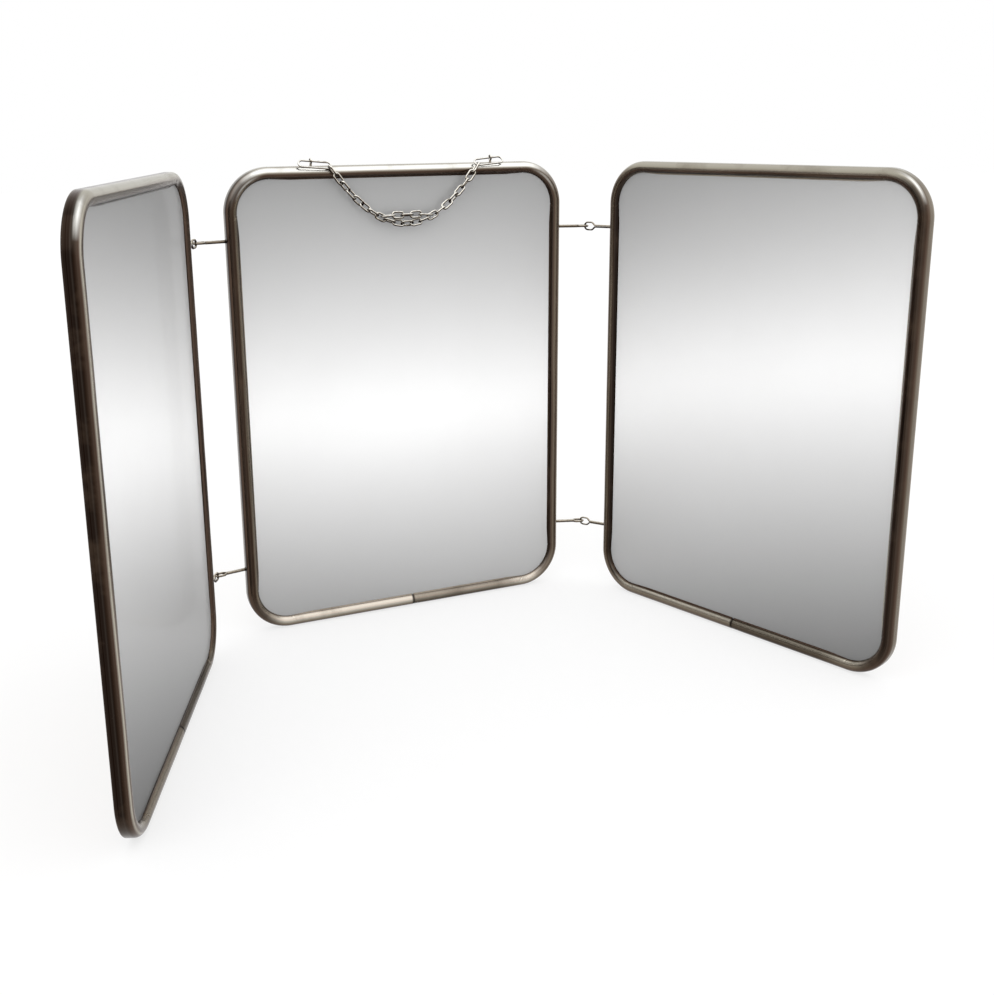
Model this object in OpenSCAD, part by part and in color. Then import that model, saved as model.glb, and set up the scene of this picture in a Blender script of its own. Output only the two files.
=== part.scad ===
// Three-panel folding mirror: three framed mirrors of one size, joined by pairs of interlocked
// split pins, with a hanging chain across the top of the centre panel.
// Millimetres. X runs along the centre panel, -Y is the reflecting side, Z is up.
// The origin is on the underside of the centre frame, midway along it, in the plane of the pins.

/* [Panels] */
// Width of each framed panel over its outer walls
panel_w = 245; // [200:1:320]
// Height of each framed panel
panel_h = 322; // [260:1:420]
// Outer radius of the frame's bent corners
corner_r = 30; // [22:1:45]
// Fold of the left panel forward from flat, in degrees
left_fold = 68; // [0:1:110]
// Fold of the right panel forward from flat, in degrees
right_fold = 72; // [0:1:110]

/* [Frame section] */
// Radius of the half-round bead on the front
bead_r = 4; // [3.8:0.1:5]
// Thickness of the rolled metal strip
strip_t = 0.7; // [0.5:0.1:0.8]
// Depth of the side wall behind the centre of the bead
wall_depth = 4.8; // [4.8:0.1:6]
// Outer radius of the fold between the side wall and the back lip
back_fold_r = 1.0; // [0.9:0.1:1.2]
// Width of the back lip that holds the board
back_lip_w = 5.5; // [4.5:0.1:7]
// How far the hem on the straight runs reaches past the bead
hem_w = 0.5; // [0.3:0.1:1.5]
// Thickness of the hem
hem_t = 0.5; // [0.4:0.1:0.8]
// Open gap between the two ends of the strip
seam_gap = 0.3; // [0.2:0.1:1]
// Distance of the seam from the middle of the bottom run
seam_shift = 1.2; // [0.8:0.1:10]
// Length of the bar that joins the two ends inside the bead
sleeve_len = 36; // [20:1:60]

/* [Glass and board] */
// Thickness of the mirror glass
glass_t = 2; // [1.5:0.1:2.5]
// Front of the glass ahead of the centre of the bead
glass_lead = 1; // [0.6:0.1:1.3]
// Edge of the glass in from the outer wall
glass_inset = 3.6; // [3.2:0.1:5]
// Edge of the backing board in from the outer wall
board_inset = 3.3; // [3:0.1:5]
// Play between glass, board and frame
seat_gap = 0.05; // [0.02:0.01:0.1]

/* [Hinge pins] */
// Height of a pin pair from the nearer end of the panel
pin_inset = 47; // [40:1:90]
// Reach of a pin from the frame's wall to the middle of its eye's end wire
pin_reach = 22.25; // [18:0.05:30]
// Radius of the wire of the eye
eye_wire_r = 0.8; // [0.6:0.05:0.8]
// Inside width of the eye
eye_w = 3.4; // [3.2:0.1:4]
// Inside length of the eye
eye_l = 6.2; // [5.8:0.1:9]
// Radius of the closed shank
shank_r = 1.1; // [0.8:0.05:1.1]
// Width of the slit between the two halves of the shank
slit_w = 0.16; // [0.1:0.02:0.3]
// Radius of the spread ends inside the frame
tail_r = 0.55; // [0.4:0.05:0.6]
// Length of each spread end
tail_l = 4; // [3:0.5:8]
// Gap between the spread ends and the inside of the wall
tail_gap = 0.65; // [0.6:0.05:0.8]
// Gap between two interlocked end wires
eye_gap = 0.2; // [0.15:0.05:0.4]
// Play of the shank above and below in its slot
slot_play = 0.25; // [0.15:0.05:0.4]
// Half length of the slot that lets a pin swing
slot_half = 2.1; // [2.05:0.05:2.3]
// Share of the left fold taken at each end pivot
left_swing_share = 0.15; // [0.12:0.01:0.2]
// Share of the right fold taken at each end pivot
right_swing_share = 0.255; // [0.22:0.005:0.26]

/* [Chain] */
// Distance between the two eyelets
eyelet_span = 130.4; // [124:0.1:131]
// Shift of the chain along the top rail
chain_shift = 1.2; // [0:0.1:4]
// Radius of the eyelet's wire
eyelet_wire_r = 0.55; // [0.4:0.05:0.6]
// Inside radius of the eyelet
eyelet_r = 1.15; // [1.05:0.05:1.4]
// Radius of the eyelet's shank
eyelet_shank_r = 0.8; // [0.6:0.05:0.9]
// Length of the eyelet's spread ends inside the bead, tip to tip
eyelet_spread = 6.4; // [5:0.1:10]
// Depth of the spread ends below the inside of the bead
eyelet_depth = 1.65; // [1.6:0.05:1.8]
// Radius of the wire of the long end links
end_wire_r = 0.65; // [0.5:0.05:0.7]
// Length of an end link between the middles of its end wires
end_link_l = 22; // [22:0.5:26]
// Width of an end link between the middles of its side wires
end_link_w = 5.6; // [5.4:0.1:6]
// Length of the end link beyond the eyelet, away from the chain
end_link_tail = 8.4; // [6:0.1:9]
// Slope of the end links in their own plane, in degrees
end_link_dip = 7; // [5:1:10]
// Distance from link to link
link_pitch = 6.55; // [6.5:0.05:6.6]
// Radius of the link wire
link_wire_r = 0.7; // [0.6:0.05:0.7]
// Width of a link between the middles of its side wires
link_w = 4.1; // [3.8:0.1:4.1]
// Gap between two linked wires
link_gap = 0.2; // [0.15:0.05:0.3]
// Clear space between the chain and the bead
drape_gap = 0.4; // [0.3:0.1:0.5]
// Links from the middle of the long run to the link that holds the short upper run, odd
hook_links = 3; // [3:2:5]

/* [Hidden] */

$fn = 48;
nickel = [0.72, 0.70, 0.65];
steel_wire = [0.62, 0.61, 0.56];
silvered = [0.78, 0.80, 0.82];
board_grey = [0.45, 0.38, 0.30];
overcut = 1;

// Frame section, with the side wall's flat centred on the plane of the pins
bead_y = -(wall_depth - back_fold_r) / 2;
back_y = bead_y + wall_depth;
lip_y = back_y - strip_t;
glass_y = bead_y - glass_lead;
board_y = glass_y + glass_t + seat_gap;
board_t = lip_y - seat_gap - board_y;
bead_in_r = bead_r - strip_t;
bead_w = 2 * bead_r;
rail_x = panel_w - 2 * corner_r;
rail_z = panel_h - 2 * corner_r;

// Pins and their three upright axes on each side
pin_heights = [panel_h - pin_inset, pin_inset];
swing_inset = strip_t / 2;
pin_l = pin_reach + swing_inset;
eye_step = 2 * eye_wire_r + eye_gap;
eye_mid_r = eye_w / 2 + eye_wire_r;
eye_straight = eye_l - eye_w;
tail_x = swing_inset + tail_gap + tail_r;
hole_x = panel_w / 2 - swing_inset;
slot_end_r = shank_r + slot_play;
left_swing = left_fold * left_swing_share;
right_swing = right_fold * right_swing_share;
// The point where the two eyes turn on each other, and the axis in the side panel's wall
function eye_point(side, swing) =
    [side * (hole_x + (pin_l - eye_step) * cos(swing)), -(pin_l - eye_step) * sin(swing)];
function wall_point(side, swing, fold) =
    eye_point(side, swing) + pin_l * [side * cos(fold - swing), -sin(fold - swing)];
left_wall = wall_point(-1, left_swing, left_fold);
right_wall = wall_point(1, right_swing, right_fold);

// Chain: it lies on a surface of radius drape_r round the top bead, and then straight down
link_l = link_pitch + 2 * link_wire_r + link_gap;
drape_r = bead_r + drape_gap + link_w / 2 + link_wire_r;
bead_top_z = panel_h - bead_r;
lean = 45;
end_plane_r = drape_r - link_w / 2 + link_wire_r + end_wire_r + 2 * seat_gap;
// The end links lie in a leaning plane that passes end_plane_r from the bead's centre. The middle
// of the eyelet is eyelet_rise further up this plane
eyelet_rise = 3.6;
eyelet_y = bead_y - end_plane_r * sin(lean) + eyelet_rise * cos(lean);
eyelet_z = bead_top_z + end_plane_r * cos(lean) + eyelet_rise * sin(lean);
end_straight = end_link_l - end_link_w;
// Where the run pulls on the end link: the place on its round end in degrees, and from there the
// way along the rail and down the leaning plane
end_pull = 55;
end_arc_x = end_link_l - end_link_tail - end_link_w / 2;
tip_run = end_arc_x * cos(end_link_dip) + end_link_w / 2 * (cos(end_pull) - sin(end_link_dip));
tip_drop = end_arc_x * sin(end_link_dip) + end_link_w / 2 * (sin(end_pull) + cos(end_link_dip))
    - eyelet_rise;
tip_x = eyelet_span / 2 - tip_run;
tip_catch = link_l / 2 - link_wire_r - end_wire_r - link_gap;
// Number of links in the long run, odd: its sag follows from this and the span
run_links = 21;
run_end = (run_links - 1) / 2;
run_half = run_end * link_pitch + tip_catch;

// Length of the curve d = c x^2 from its lowest point, and the x reached after a length s
function asinh(v) = ln(v + sqrt(v * v + 1));
function curve_len(c, x) =
    x / 2 * sqrt(1 + 4 * c * c * x * x) + asinh(2 * c * x) / (4 * c);
function curve_x(c, s, x, n = 8) =
    n == 0 ? x : curve_x(c, s, x - (curve_len(c, x) - s) / sqrt(1 + 4 * c * c * x * x), n - 1);
// The bend c that gives the chain its length between the tips, found by halving
function find_bend(lo, hi, n = 30) =
    n == 0 ? (lo + hi) / 2
    : curve_len((lo + hi) / 2, tip_x) < run_half ? find_bend((lo + hi) / 2, hi, n - 1)
    : find_bend(lo, (lo + hi) / 2, n - 1);
least_bend = 0.001;
most_bend = 0.1;
bend = find_bend(least_bend, most_bend);
low_drop = tip_drop + bend * tip_x * tip_x;

// A point and turn on the drape: distance d down from where the surface leans by 45 degrees
turn_len = drape_r * lean * PI / 180;
function drape_turn(d) = d < turn_len ? lean + d / drape_r * 180 / PI : 90;
function drape_at(x, d) =
    [x,
     bead_y - drape_r * sin(drape_turn(d)),
     bead_top_z + drape_r * cos(drape_turn(d)) - max(0, d - turn_len)];
first_guess = 0.8;
function run_x(i) = curve_x(bend, i * link_pitch, first_guess * i * link_pitch);
// Links lean to either side in turn. The few nearest to an end link or a hooking link, counted
// from it by n, turn by steps until the last one is square to the surface, or flat on it. The
// ones at an even count from the squared link are those that end up square
twist_links = 3;
function link_twist(from_square, n) =
    (from_square % 2 == 0 ? lean : -lean) + (90 - lean) * max(0, twist_links - n) / twist_links;

// Short run, and the two links that hook it to the long run. Its links rise a little away from the
// middle and fall again towards the hooking links: short_sag and hook_lead are those slopes
short_half = hook_links - 1;
hook_lead = 4;
short_sag = 7;
function heading(i) =
    let (u = i / short_half)
    short_sag * u - (hook_lead + short_sag) * u * u * u;
hook_x = run_x(hook_links);
hook_slope = atan(2 * bend * hook_x);
hook_off = link_w / 2 - 2 * link_wire_r - link_gap;
hook_at = [hook_x - hook_off * sin(hook_slope), low_drop - bend * hook_x * hook_x - hook_off * cos(hook_slope)];
function short_x(i) =
    i <= 0 ? 0 : short_x(i - 1) + link_pitch * cos((heading(i) + heading(i - 1)) / 2);
function short_fall(i) =
    i <= 0 ? 0 : short_fall(i - 1) - link_pitch * sin((heading(i) + heading(i - 1)) / 2);
// The hooking links are as long as the space left between the short run and its holders
inner_end = short_half - 1;
catch = link_l / 2 - 2 * link_wire_r - link_gap;
join_at = [short_x(inner_end) + catch * cos(heading(inner_end)), short_fall(inner_end)];
hook_run = hook_at[0] - join_at[0];
hook_link_l = hook_run / cos(hook_lead);
short_top = hook_at[1] - hook_link_l * sin(hook_lead) - short_fall(inner_end)
    + catch * sin(heading(inner_end));

// ---- Frame ----

// Section of the rolled strip: x inward from the outer wall, y towards the back
module strip_section(with_hem) {
    difference() {
        translate([bead_r, bead_y]) circle(bead_r);
        translate([bead_r, bead_y]) circle(bead_in_r);
        translate([-overcut, bead_y]) square([bead_w + 2 * overcut, bead_w]);
        translate([bead_r, glass_y - seat_gap]) square([bead_w, bead_w]);
    }
    // Side wall, and the fold into the back lip
    translate([0, bead_y]) square([strip_t, wall_depth - back_fold_r]);
    intersection() {
        difference() {
            translate([back_fold_r, back_y - back_fold_r]) circle(back_fold_r);
            translate([back_fold_r, back_y - back_fold_r]) circle(back_fold_r - strip_t);
        }
        translate([0, back_y - back_fold_r]) square(back_fold_r);
    }
    translate([back_fold_r, lip_y]) square([back_lip_w - back_fold_r, strip_t]);
    // Hem at the bead's foot, on the glass
    if (with_hem)
        translate([bead_w - strip_t, glass_y - seat_gap - hem_t]) square([strip_t + hem_w, hem_t]);
}

module upright(side) {
    mirror([side > 0 ? 1 : 0, 0, 0])
        translate([-panel_w / 2, 0, corner_r])
            linear_extrude(rail_z) strip_section(true);
}

module bottom_rail() {
    translate([rail_x / 2, 0, 0])
        rotate([0, -90, 0]) linear_extrude(rail_x) strip_section(true);
}

module bottom_corner() {
    translate([panel_w / 2 - corner_r, 0, corner_r])
        rotate([-90, 0, 0])
            rotate_extrude(angle = 90, $fn = 96)
                translate([corner_r, 0]) mirror([1, 0]) strip_section(false);
}

module four_corners() {
    for (flip = [0, 1]) mirror([flip, 0, 0]) {
        bottom_corner();
        translate([0, 0, panel_h]) mirror([0, 0, 1]) bottom_corner();
    }
}

// Slots for the pins in the wall on one side, long enough for the pins to swing
module pin_slots(side) {
    for (z = pin_heights)
        translate([side * panel_w / 2, 0, z])
            for (y = [-1, 1])
                translate([0, y * (slot_half - slot_end_r), 0]) {
                    rotate([0, 90, 0]) cylinder(r = slot_end_r, h = 2 * strip_t + overcut, center = true);
                    translate([-strip_t - overcut / 2, y > 0 ? -2 * (slot_half - slot_end_r) : 0, -slot_end_r])
                        cube([2 * strip_t + overcut, 2 * (slot_half - slot_end_r), 2 * slot_end_r]);
                }
}

module frame(slot_sides, eyelet_holes) {
    color(nickel) difference() {
        union() {
            upright(-1);
            upright(1);
            bottom_rail();
            translate([0, 0, panel_h]) mirror([0, 0, 1]) bottom_rail();
            four_corners();
        }
        translate([seam_shift - seam_gap / 2, bead_y - bead_w, -overcut])
            cube([seam_gap, 2 * bead_w + wall_depth, bead_w + hem_w + 2 * overcut]);
        for (side = slot_sides) pin_slots(side);
        if (eyelet_holes) for (side = [-1, 1])
            translate([eyelet_x(side), eyelet_y, panel_h - bead_r])
                cylinder(r = eyelet_shank_r + seat_gap, h = bead_r + overcut);
    }
}

// Bar inside the bead that holds the two ends of the strip in line
module joint_bar() {
    bar_r = bead_in_r - 2 * seat_gap;
    color(steel_wire) intersection() {
        translate([seam_shift - sleeve_len / 2, bead_y, bead_r])
            rotate([0, 90, 0]) cylinder(r = bar_r, h = sleeve_len);
        translate([seam_shift - sleeve_len / 2, bead_y - bead_r, 0])
            cube([sleeve_len, bead_r - glass_lead - 4 * seat_gap, bead_w]);
    }
}

// ---- Glass and board ----

module rounded_sheet(inset, y, t) {
    r = corner_r - inset;
    w = panel_w / 2 - corner_r;
    translate([0, y + t, 0]) rotate([90, 0, 0]) linear_extrude(t) {
        for (x = [-w, w], z = [corner_r, panel_h - corner_r]) translate([x, z]) circle(r, $fn = 96);
        translate([-panel_w / 2 + inset, corner_r]) square([panel_w - 2 * inset, rail_z]);
        translate([-w, inset]) square([2 * w, panel_h - 2 * inset]);
    }
}

module mirror_glass() {
    color(silvered) rounded_sheet(glass_inset, glass_y, glass_t);
}

module backing_board() {
    color(board_grey) rounded_sheet(board_inset, board_y, board_t);
}

// ---- Wire pieces ----

// Closed link in the XZ plane, long side on X, centred: l and w run between wire middles
module wire_link(l, w, r) {
    for (side = [-1, 1]) {
        translate([side * (l - w) / 2, 0, 0])
            rotate([90, 90 * side, 0]) rotate_extrude(angle = 180)
                translate([w / 2, 0]) circle(r);
        translate([-(l - w) / 2, 0, side * w / 2])
            rotate([0, 90, 0]) cylinder(r = r, h = l - w);
    }
}

// Split pin along +X from its swing axis: its spread ends lie inside the frame's wall
module split_pin(eye_turn) {
    eye_near = pin_l - 2 * eye_mid_r - eye_straight;
    color(steel_wire) {
        difference() {
            translate([-tail_x, 0, 0]) rotate([0, 90, 0]) cylinder(r = shank_r, h = eye_near + tail_x);
            rotate([eye_turn, 0, 0])
                translate([swing_inset + 2 * strip_t, -2 * shank_r, -slit_w / 2])
                    cube([eye_near - 4 * strip_t, 4 * shank_r, slit_w]);
        }
        translate([-tail_x, 0, 0]) cylinder(r = tail_r, h = 2 * (tail_l + shank_r), center = true);
        rotate([eye_turn, 0, 0])
            translate([pin_l - eye_mid_r - eye_straight / 2, 0, 0])
                wire_link(2 * eye_mid_r + eye_straight, 2 * eye_mid_r, eye_wire_r);
    }
}

// A pin in the centre panel's wall, its eye level
module inner_pin(side, swing, level) {
    translate([side * hole_x, 0, pin_heights[level]])
        rotate([0, 0, side > 0 ? -swing : 180 + swing]) split_pin(90);
}

// A pin in a side panel's wall, its eye upright, pointing back to the inner pin
module outer_pin(side, wall, swing, fold, level) {
    translate([wall[0], wall[1], pin_heights[level]])
        rotate([0, 0, side > 0 ? 180 - (fold - swing) : fold - swing]) split_pin(0);
}

module on_left() {
    translate([left_wall[0], left_wall[1], 0])
        rotate([0, 0, left_fold]) translate([-hole_x, 0, 0]) children();
}

module on_right() {
    translate([right_wall[0], right_wall[1], 0])
        rotate([0, 0, -right_fold]) translate([hole_x, 0, 0]) children();
}

// ---- Chain ----

function eyelet_x(side) = chain_shift + side * eyelet_span / 2;

// Eyelet across the rail, its shank through the top of the bead and spread inside it
module eyelet(side) {
    eye_r = eyelet_r + eyelet_wire_r;
    shank_top = eyelet_z - eye_r;
    shank_low = bead_top_z + bead_in_r - eyelet_depth;
    color(steel_wire) translate([eyelet_x(side), eyelet_y, 0]) {
        translate([0, 0, eyelet_z]) rotate([0, 90, 0])
            rotate_extrude() translate([eye_r, 0]) circle(eyelet_wire_r);
        translate([0, 0, shank_low]) cylinder(r = eyelet_shank_r, h = shank_top - shank_low);
        translate([0, 0, shank_low]) rotate([0, 90, 0])
            cylinder(r = eyelet_wire_r, h = eyelet_spread, center = true);
    }
}

// Long link threaded through the eyelet, lying over the shoulder of the bead
module end_link(side) {
    color(steel_wire) translate([chain_shift, 0, 0]) mirror([side > 0 ? 1 : 0, 0, 0])
        translate([-eyelet_span / 2, eyelet_y, eyelet_z])
            rotate([lean - 90, 0, 0]) rotate([0, end_link_dip, 0])
                translate([end_link_l / 2 - end_link_tail, 0, -end_link_w / 2])
                    wire_link(end_link_l, end_link_w, end_wire_r);
}

// A link on the drape at x and d, heading up by slope, and twisted about its own length
module placed_link(x, d, slope, twist, l) {
    translate(drape_at(x, d) + [chain_shift, 0, 0])
        rotate([drape_turn(d) - 90, 0, 0]) rotate([0, slope, 0])
            rotate([twist, 0, 0]) wire_link(l, link_w, link_wire_r);
}

// Links first to last of the long run, counted from its middle
module long_run(first, last) {
    color(steel_wire) for (i = [first:last]) {
        x = run_x(i);
        placed_link(x, low_drop - bend * x * x, -atan(2 * bend * x),
            link_twist(run_end - i, min(abs(abs(i) - hook_links), run_end - abs(i))), link_l);
    }
}

module short_run() {
    color(steel_wire) for (i = [-inner_end:inner_end]) {
        x = sign(i) * short_x(abs(i));
        placed_link(x, short_top + short_fall(abs(i)), -sign(i) * heading(abs(i)),
            link_twist(inner_end + 1 - i, inner_end - abs(i)), link_l);
    }
}

module hook_link(side) {
    mid = [(hook_at[0] + join_at[0]) / 2, hook_at[1] - hook_run / 2 * tan(hook_lead)];
    color(steel_wire) placed_link(side * mid[0], mid[1], side * hook_lead, 90, hook_link_l);
}

frame([-1, 1], true);  // centre_frame
on_left() frame([1], false);  // left_frame
on_right() frame([-1], false);  // right_frame
mirror_glass();  // centre_mirror_glass
on_left() mirror_glass();  // left_mirror_glass
on_right() mirror_glass();  // right_mirror_glass
backing_board();  // centre_backing_board
on_left() backing_board();  // left_backing_board
on_right() backing_board();  // right_backing_board
joint_bar();  // centre_joint_bar
on_left() joint_bar();  // left_joint_bar
on_right() joint_bar();  // right_joint_bar
inner_pin(-1, left_swing, 0);  // left_upper_inner_pin
inner_pin(-1, left_swing, 1);  // left_lower_inner_pin
outer_pin(-1, left_wall, left_swing, left_fold, 0);  // left_upper_outer_pin
outer_pin(-1, left_wall, left_swing, left_fold, 1);  // left_lower_outer_pin
inner_pin(1, right_swing, 0);  // right_upper_inner_pin
inner_pin(1, right_swing, 1);  // right_lower_inner_pin
outer_pin(1, right_wall, right_swing, right_fold, 0);  // right_upper_outer_pin
outer_pin(1, right_wall, right_swing, right_fold, 1);  // right_lower_outer_pin
eyelet(-1);  // chain_eyelet_left
eyelet(1);  // chain_eyelet_right
end_link(-1);  // chain_end_link_left
end_link(1);  // chain_end_link_right
long_run(-run_end, -hook_links - 1);  // chain_run_left
long_run(-hook_links, hook_links);  // chain_run_middle
long_run(hook_links + 1, run_end);  // chain_run_right
short_run();  // chain_short_run
hook_link(-1);  // chain_hook_link_left
hook_link(1);  // chain_hook_link_right
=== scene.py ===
"""Looks for the three-panel folding mirror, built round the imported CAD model. Metres throughout."""
import math

import bpy
import bmesh
from mathutils import Matrix, Vector


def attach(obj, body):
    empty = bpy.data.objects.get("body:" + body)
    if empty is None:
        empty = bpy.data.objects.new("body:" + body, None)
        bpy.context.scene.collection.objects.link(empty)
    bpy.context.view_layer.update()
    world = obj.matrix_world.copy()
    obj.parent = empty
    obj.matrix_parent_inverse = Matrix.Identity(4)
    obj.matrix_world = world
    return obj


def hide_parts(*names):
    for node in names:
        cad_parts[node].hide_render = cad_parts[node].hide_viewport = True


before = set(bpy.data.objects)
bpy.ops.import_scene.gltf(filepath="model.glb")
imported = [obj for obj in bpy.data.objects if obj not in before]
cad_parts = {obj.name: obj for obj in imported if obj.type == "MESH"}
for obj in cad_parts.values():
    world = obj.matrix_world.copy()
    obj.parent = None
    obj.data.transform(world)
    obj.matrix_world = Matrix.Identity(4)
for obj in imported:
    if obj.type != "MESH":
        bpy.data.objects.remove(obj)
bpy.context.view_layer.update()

# ---- Sizes that repeat part.scad, in metres ----
MM = 0.001
PANEL_W, PANEL_H, CORNER_R = 245 * MM, 322 * MM, 30 * MM
BEAD_R, STRIP_T, WALL_DEPTH, FOLD_R, LIP_W = 4 * MM, 0.7 * MM, 4.8 * MM, 1 * MM, 5.5 * MM
HEM_W, HEM_T = 0.5 * MM, 0.5 * MM
SEAM_GAP, SEAM_X = 0.3 * MM, 1.2 * MM
GLASS_LEAD, SEAT = 1 * MM, 0.05 * MM
LEFT_FOLD, RIGHT_FOLD = math.radians(68), math.radians(72)
# The part of each fold that the inner pins take
LEFT_SHARE, RIGHT_SHARE = 0.15, 0.255
SWING_INSET = STRIP_T / 2
PIN_L = 22.25 * MM + SWING_INSET
EYE_WIRE, EYE_W, EYE_L, SHANK_R = 0.8 * MM, 3.4 * MM, 6.2 * MM, 1.1 * MM
EYE_STEP = 2 * EYE_WIRE + 0.2 * MM
PIN_INSET = 47 * MM
PIN_HEIGHTS = (PANEL_H - PIN_INSET, PIN_INSET)
HOLE_X = PANEL_W / 2 - SWING_INSET
SLOT_HALF, SLOT_R = 2.1 * MM, 1.35 * MM
TAIL_X, TAIL_R, TAIL_L = 1.55 * MM, 0.55 * MM, 5.1 * MM
STRIP_RUN = 2 * (PANEL_W + PANEL_H - 4 * CORNER_R) + 2 * math.pi * CORNER_R
BEAD_Y = -(WALL_DEPTH - FOLD_R) / 2
BACK_Y = BEAD_Y + WALL_DEPTH
GLASS_Y = BEAD_Y - GLASS_LEAD


def eye_point(side, swing):
    """Where the eyes of a pair of pins meet, for side -1 or 1."""
    reach = PIN_L - EYE_STEP
    return Vector((side * (HOLE_X + reach * math.cos(swing)), -reach * math.sin(swing), 0))


def wall_point(side, swing, fold):
    """Where the outer pin passes through the side panel's wall."""
    return eye_point(side, swing) + PIN_L * Vector(
        (side * math.cos(fold - swing), -math.sin(fold - swing), 0))


LEFT_SWING, RIGHT_SWING = LEFT_FOLD * LEFT_SHARE, RIGHT_FOLD * RIGHT_SHARE
LEFT_WALL = wall_point(-1, LEFT_SWING, LEFT_FOLD)
RIGHT_WALL = wall_point(1, RIGHT_SWING, RIGHT_FOLD)
PLACE = {
    "centre": Matrix.Identity(4),
    "left": Matrix.Translation(LEFT_WALL) @ Matrix.Rotation(LEFT_FOLD, 4, "Z")
    @ Matrix.Translation((-HOLE_X, 0, 0)),
    "right": Matrix.Translation(RIGHT_WALL) @ Matrix.Rotation(-RIGHT_FOLD, 4, "Z")
    @ Matrix.Translation((HOLE_X, 0, 0)),
}


# ---- Camera, from a fit to the photograph's straight edges ----
FOCAL_PX, IMAGE_W, IMAGE_H = 1207.78, 994, 995
YAW, PITCH, ROLL = math.radians(24.202), math.radians(15.046), math.radians(-0.411)
CAMERA_AT = Vector((-299.15, -794.9, 349.93)) * MM
CENTRE_PX = (479.04, 445.70)
SENSOR = 36

cam_data = bpy.data.cameras.new("view")
cam = bpy.data.objects.new("view", cam_data)
bpy.context.scene.collection.objects.link(cam)
forward = Vector(
    (math.sin(YAW) * math.cos(PITCH), math.cos(YAW) * math.cos(PITCH), -math.sin(PITCH)))
right = Vector((math.cos(YAW), -math.sin(YAW), 0))
up = right.cross(forward)
right_rolled = math.cos(ROLL) * right + math.sin(ROLL) * up
up_rolled = -math.sin(ROLL) * right + math.cos(ROLL) * up
turn = Matrix((right_rolled, up_rolled, -forward)).transposed()
cam.matrix_world = Matrix.Translation(CAMERA_AT) @ turn.to_4x4()
cam_data.sensor_fit = "AUTO"
cam_data.sensor_width = SENSOR
cam_data.lens = FOCAL_PX * SENSOR / IMAGE_H
cam_data.shift_x = (IMAGE_W / 2 - CENTRE_PX[0]) / IMAGE_H
cam_data.shift_y = (CENTRE_PX[1] - IMAGE_H / 2) / IMAGE_H
cam_data.clip_start, cam_data.clip_end = 0.01, 50
bpy.context.scene.camera = cam


# ---- Node helpers ----
class Tree:
    """A material's nodes, with short calls to add and join them."""

    def __init__(self, name):
        self.mat = bpy.data.materials.new(name)
        self.mat.use_nodes = True
        self.nodes = self.mat.node_tree.nodes
        self.links = self.mat.node_tree.links
        self.shader = self.nodes["Principled BSDF"]

    def add(self, kind, **values):
        node = self.nodes.new("ShaderNode" + kind)
        for key, value in values.items():
            if hasattr(node, key):
                setattr(node, key, value)
            else:
                node.inputs[key.replace("_", " ")].default_value = value
        return node

    def join(self, source, target):
        self.links.new(source, target)

    def math(self, op, a, b=None, clamp=False):
        node = self.nodes.new("ShaderNodeMath")
        node.operation = op
        node.use_clamp = clamp
        for place, value in enumerate((a, b)):
            if isinstance(value, (int, float)):
                node.inputs[place].default_value = value
            elif value is not None:
                self.links.new(value, node.inputs[place])
        return node.outputs[0]

    def ramp(self, source, stops):
        node = self.nodes.new("ShaderNodeValToRGB")
        marks = node.color_ramp.elements
        while len(marks) < len(stops):
            marks.new(0.5)
        for mark, (at, colour) in zip(marks, stops):
            mark.position = at
            mark.color = (*colour, 1)
        self.links.new(source, node.inputs[0])
        return node.outputs[0]

    def mix(self, factor, a, b, blend="MIX"):
        """Mixes two colours. A mix node has its factor, A and B for colours at 0, 6 and 7."""
        node = self.nodes.new("ShaderNodeMix")
        node.data_type = "RGBA"
        node.blend_type = blend
        for place, value in ((0, factor), (6, a), (7, b)):
            if isinstance(value, tuple):
                node.inputs[place].default_value = (*value, 1)
            else:
                self.links.new(value, node.inputs[place])
        return node.outputs[2]

    def noise(self, coords, scale, detail=3.0, rough=0.5):
        node = self.add("TexNoise", Scale=scale, Detail=detail, Roughness=rough)
        self.links.new(coords, node.inputs["Vector"])
        return node.outputs[0]

    def bump(self, height, strength, distance, base=None):
        node = self.add("Bump", Strength=strength, Distance=distance)
        self.links.new(height, node.inputs["Height"])
        if base is not None:
            self.links.new(base, node.inputs["Normal"])
        return node.outputs[0]

    def finish(self, **plain):
        for key, value in plain.items():
            self.shader.inputs[key.replace("_", " ")].default_value = value
        return self.mat


def grey(level):
    return (level, level, level)


# Tones painted on the old nickel for its reflections, highlights and shade, from where it looks dark
# to where it looks bright
BLACK = (0.010, 0.005, 0.003)
DARK = (0.034, 0.020, 0.013)
BROWN = (0.078, 0.050, 0.036)
KHAKI = (0.155, 0.125, 0.092)
LIGHT = (0.260, 0.225, 0.180)
PALE = (0.460, 0.430, 0.365)
CREAM = (0.700, 0.650, 0.560)
WHITE = (0.930, 0.925, 0.880)
# A greenish tone of painted reflection on the upper rails and a pinkish one on the lower
STONE = (0.390, 0.368, 0.300)
ROSE = (0.610, 0.525, 0.450)
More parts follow.
